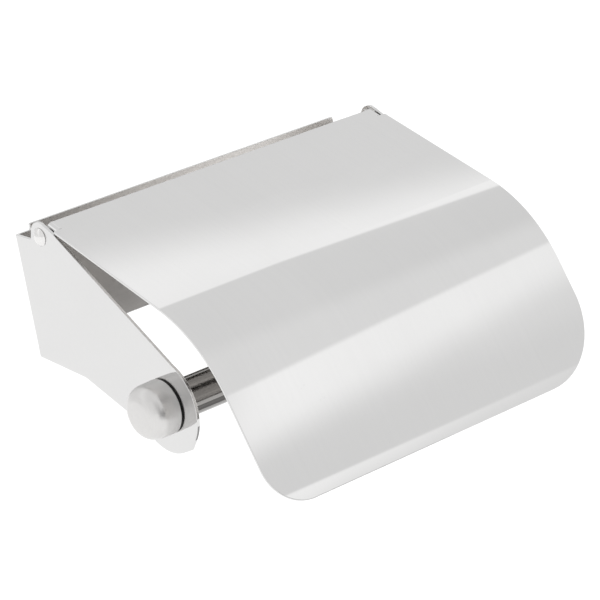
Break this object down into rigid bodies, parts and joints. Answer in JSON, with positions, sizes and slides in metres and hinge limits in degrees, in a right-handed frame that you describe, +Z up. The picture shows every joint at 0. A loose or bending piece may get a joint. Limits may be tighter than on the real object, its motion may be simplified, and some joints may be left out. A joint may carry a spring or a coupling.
{
  "type": "toilet paper holder",
  "caption": "Wall-mounted toilet paper holder: folded sheet bracket, hinged curved lid and a roller rod held by a screwed knob at each end.",
  "frame": {"origin": "on the wall face of the back plate, midway between the two fixing holes", "axes": "+X across the holder to the user's right, +Y into the wall, +Z up"},
  "size_m": [0.1556, 0.1078, 0.0783],
  "materials": {
    "bracket_steel": "bright polished stainless sheet",
    "lid_steel": "bright polished stainless sheet",
    "rivet_steel": "polished domed head",
    "washer_nylon": "natural nylon",
    "tube_chrome": "mirror plated tube",
    "plug_zinc": "turned, plain",
    "knob_steel": "satin turned",
    "screw_steel": "zinc plated thread",
    "washer_black": "matt"
  },
  "bodies": {
    "holder": {"bracket": "bracket_steel", "hinge_rivet_left": "rivet_steel", "hinge_rivet_right": "rivet_steel", "hinge_washer_left": "washer_nylon", "hinge_washer_right": "washer_nylon"},
    "lid": {"lid": "lid_steel"},
    "left_washer": {"knob_washer_left": "washer_black"},
    "roller": {"roller_tube": "tube_chrome", "tube_plug_left": "plug_zinc", "tube_plug_right": "plug_zinc", "knob_left": "knob_steel", "knob_screw_left": "screw_steel"},
    "right_washer": {"knob_washer_right": "washer_black"},
    "right_knob": {"knob_right": "knob_steel", "knob_screw_right": "screw_steel"}
  },
  "joints": [
    {"name": "lid_hinge", "type": "hinge", "parent": "holder", "child": "lid", "pos_m": [0, -0.0141, 0.0175], "axis": [-1, 0, 0], "range_deg": [0, 115]},
    {"name": "rod_pull", "type": "slide", "parent": "holder", "child": "left_washer", "axis": [-1, 0, 0], "range_m": [0, 0.14]},
    {"name": "rod_spin", "type": "hinge", "parent": "left_washer", "child": "roller", "pos_m": [0, -0.062, -0.0298], "axis": [1, 0, 0], "continuous": true},
    {"name": "knob_pull", "type": "slide", "parent": "holder", "child": "right_washer", "axis": [1, 0, 0], "range_m": [0, 0.03]},
    {"name": "knob_spin", "type": "hinge", "parent": "right_washer", "child": "right_knob", "pos_m": [0, -0.062, -0.0298], "axis": [1, 0, 0], "continuous": true}
  ],
  "couplings": [
    {"joint": "knob_spin", "follows": "rod_spin", "ratio": 1}
  ]
}
